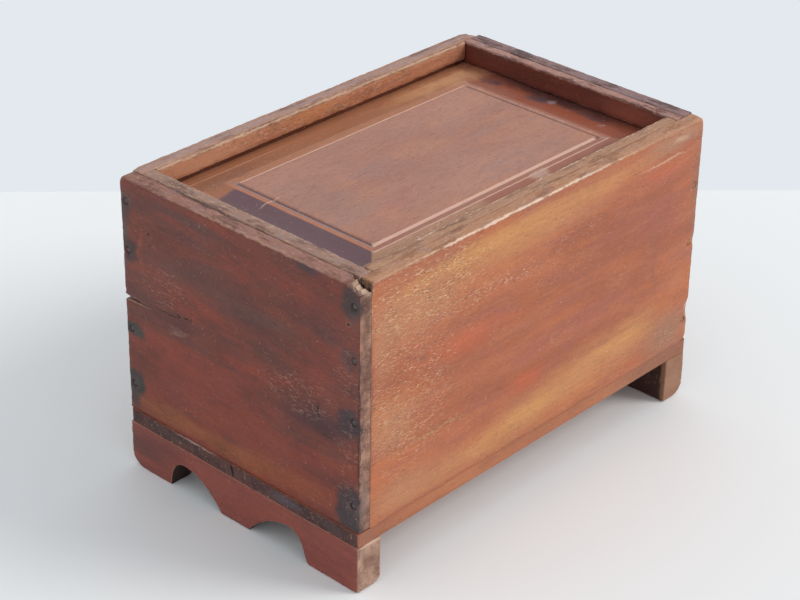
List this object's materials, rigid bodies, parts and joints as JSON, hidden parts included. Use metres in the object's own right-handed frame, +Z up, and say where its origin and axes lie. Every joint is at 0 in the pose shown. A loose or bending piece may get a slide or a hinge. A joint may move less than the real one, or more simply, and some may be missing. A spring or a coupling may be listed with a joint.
{
  "type": "small wooden chest with sliding lid",
  "caption": "Small hardwood chest on scalloped foot boards, with a recessed raised-panel lid that slides out endways between guide strips.",
  "frame": {"origin": "centre of the chest's box on the surface it stands on", "axes": "+X along the length, towards the end where the lid slides out; +Y across the width, away from the front long side; +Z up"},
  "size_m": [0.2874, 0.182, 0.1871],
  "materials": {
    "side_wood": "orange-brown hardwood, worn wax polish, fine scratches along the grain",
    "end_wood": "dark red-brown hardwood, old patina with iron stains",
    "base_wood": "red-brown hardwood, stained and rubbed",
    "foot_wood": "dark red-brown hardwood, sawn scallops, worn corners",
    "strip_wood": "greyish worn hardwood with rubbed pale edges",
    "lid_wood": "pinkish brown hardwood, smooth worn polish",
    "nail_iron": "dull rusted wrought iron"
  },
  "bodies": {
    "carcass": {"base_board": "base_wood", "front_side_board": "side_wood", "back_side_board": "side_wood", "near_end_board": "end_wood", "far_end_board": "end_wood", "near_foot_board": "foot_wood", "far_foot_board": "foot_wood", "near_guide_strip": "strip_wood", "front_guide_strip": "strip_wood", "back_guide_strip": "strip_wood", "near_lid_runner": "strip_wood", "front_lid_runner": "strip_wood", "back_lid_runner": "strip_wood", "near_end_nail_back_1": "nail_iron", "near_end_nail_back_2": "nail_iron", "near_end_nail_back_3": "nail_iron", "near_end_nail_back_4": "nail_iron", "near_end_nail_front_1": "nail_iron", "near_end_nail_front_2": "nail_iron", "near_end_nail_front_3": "nail_iron", "near_end_nail_front_4": "nail_iron", "far_end_nail_back_1": "nail_iron", "far_end_nail_back_2": "nail_iron", "far_end_nail_back_3": "nail_iron", "far_end_nail_front_1": "nail_iron", "far_end_nail_front_2": "nail_iron", "far_end_nail_front_3": "nail_iron", "base_nail_front_1": "nail_iron", "base_nail_front_2": "nail_iron", "base_nail_front_3": "nail_iron", "base_nail_front_4": "nail_iron", "base_nail_back_1": "nail_iron", "base_nail_back_2": "nail_iron", "base_nail_back_3": "nail_iron", "base_nail_back_4": "nail_iron", "near_foot_nail_1": "nail_iron", "near_foot_nail_2": "nail_iron", "near_foot_nail_3": "nail_iron", "far_foot_nail_1": "nail_iron", "far_foot_nail_2": "nail_iron", "far_foot_nail_3": "nail_iron"},
    "lid": {"lid_panel": "lid_wood", "lid_head_rail": "end_wood", "lid_head_strip": "strip_wood", "head_rail_nail_1": "nail_iron", "head_rail_nail_2": "nail_iron", "head_rail_nail_3": "nail_iron", "head_rail_nail_4": "nail_iron"}
  },
  "joints": [
    {"name": "lid_slide", "type": "slide", "parent": "carcass", "child": "lid", "axis": [1, 0, 0], "range_m": [0, 0.25]}
  ]
}
